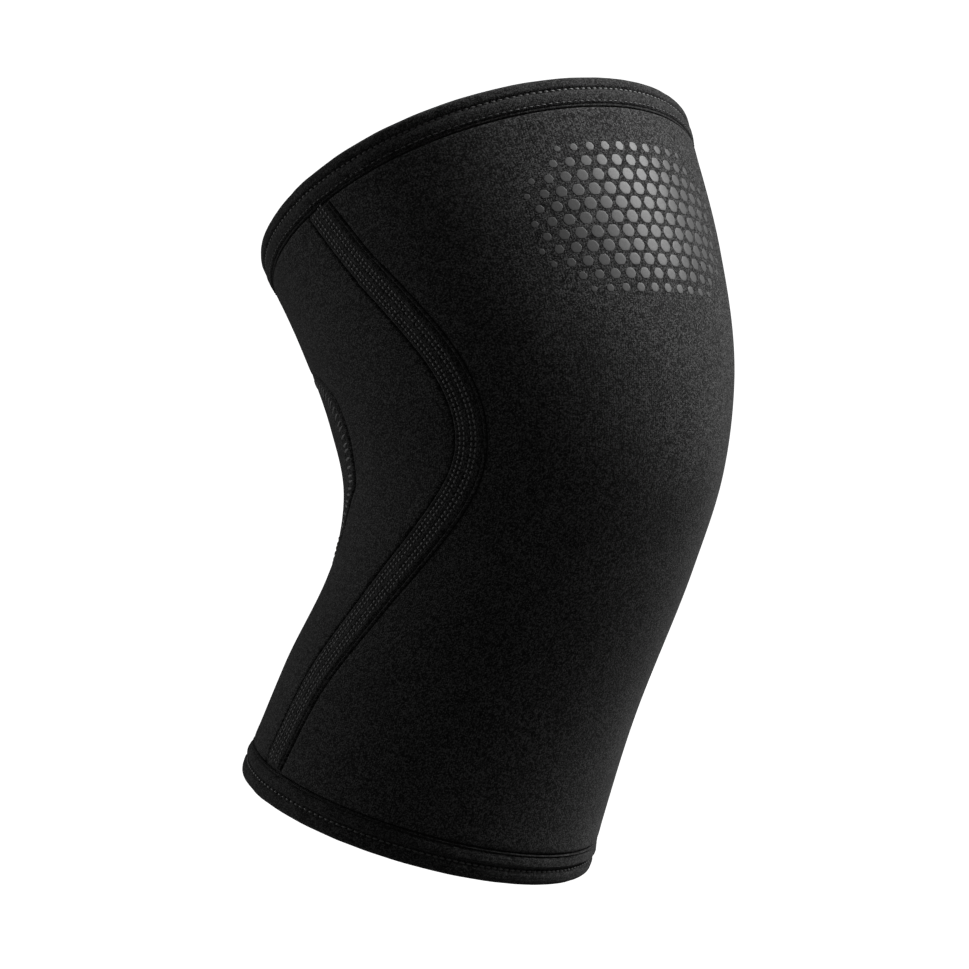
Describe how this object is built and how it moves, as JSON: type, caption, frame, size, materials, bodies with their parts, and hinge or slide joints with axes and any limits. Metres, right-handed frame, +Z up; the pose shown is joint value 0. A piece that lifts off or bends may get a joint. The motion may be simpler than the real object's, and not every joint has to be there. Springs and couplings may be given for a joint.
{
  "type": "knee sleeve",
  "caption": "Soft, hollow knee sleeve: a bent tube of padded cloth with folded hems at both rims, flat seam bands down its sides and a panel let into the knee hollow.",
  "frame": {"origin": "middle of the knee, on the line that the leg follows through the hollow, where the sleeve is held up", "axes": "+Z up the leg towards the upper rim, -Y out of the front of the knee, +Y out of the knee hollow, +X to one side"},
  "size_m": [0.162, 0.1982, 0.2879],
  "materials": {
    "panel_cloth": "matt fine black jersey over foam",
    "insert_cloth": "matt fine black jersey over thinner foam",
    "band_tape": "matt black elastic tape",
    "hem_cloth": "matt black binding"
  },
  "bodies": {
    "root": {"front_panel": "panel_cloth", "rear_panel": "panel_cloth", "knee_hollow_insert": "insert_cloth", "side_band_left": "band_tape", "side_band_right": "band_tape", "top_hem": "hem_cloth", "bottom_hem": "hem_cloth"}
  },
  "joints": []
}
